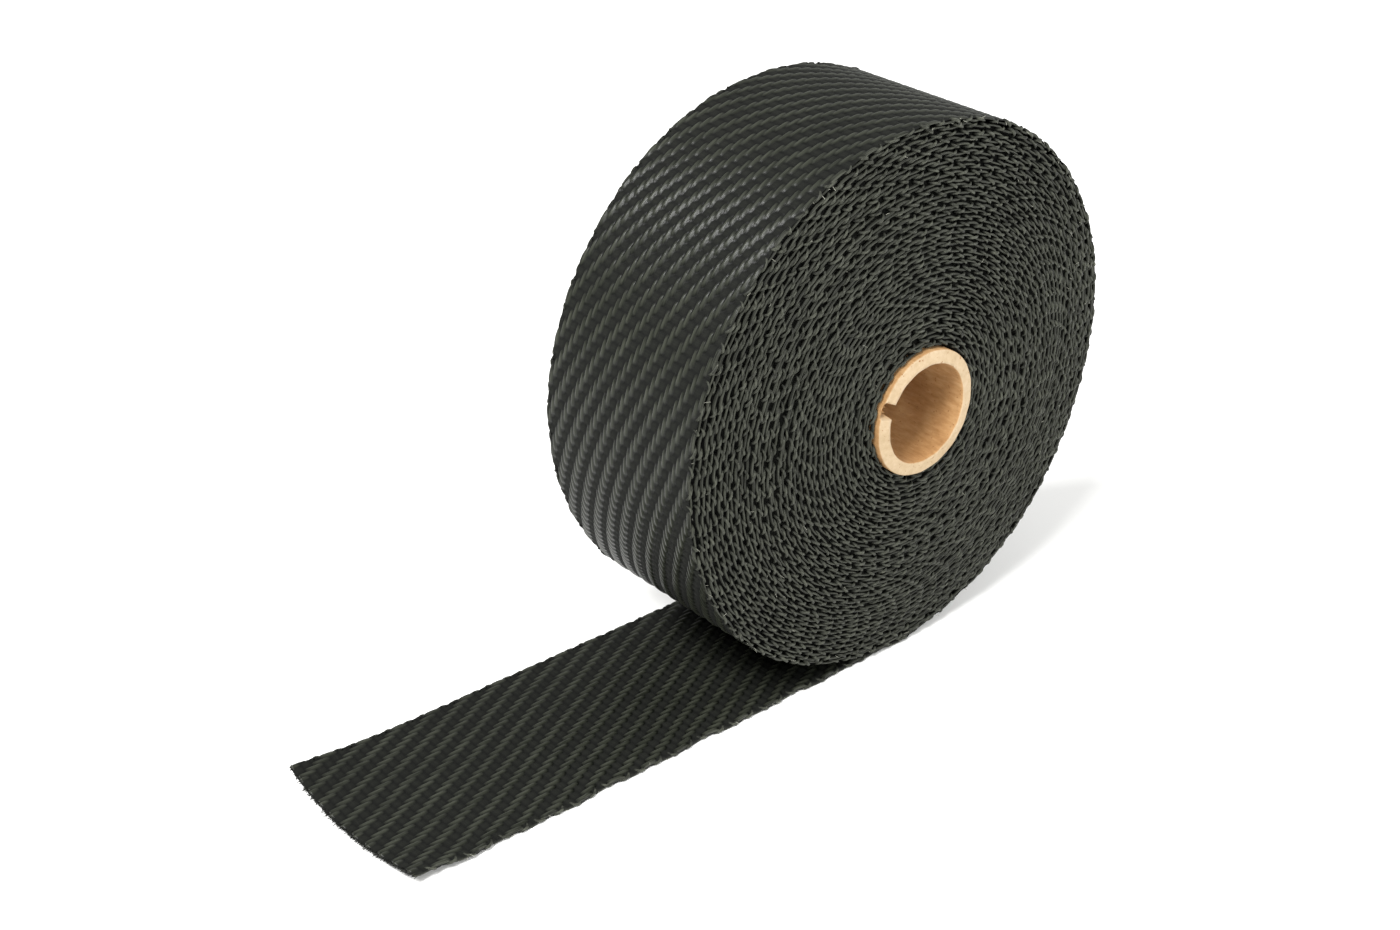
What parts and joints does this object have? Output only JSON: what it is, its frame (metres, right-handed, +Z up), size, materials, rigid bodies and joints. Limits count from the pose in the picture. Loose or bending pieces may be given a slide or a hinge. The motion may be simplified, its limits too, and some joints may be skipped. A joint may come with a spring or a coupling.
{
  "type": "exhaust heat wrap roll",
  "caption": "Roll of dark woven heat-insulating tape wound on a cardboard core, lying on its side with its free end run out flat.",
  "frame": {"origin": "on the floor, under the roll's axis and halfway along its width", "axes": "+Z up; the roll's axis is along Y with the near end facing -Y; the free end of the tape runs towards -X"},
  "size_m": [0.2143, 0.0552, 0.1405],
  "materials": {
    "woven_tape": "coarse twill of glossy mineral yarn, dark grey",
    "kraft_cardboard": "matt kraft paper, fibrous where cut and torn"
  },
  "bodies": {
    "root": {"heat_wrap_tape": "woven_tape", "cardboard_core": "kraft_cardboard"}
  },
  "joints": []
}
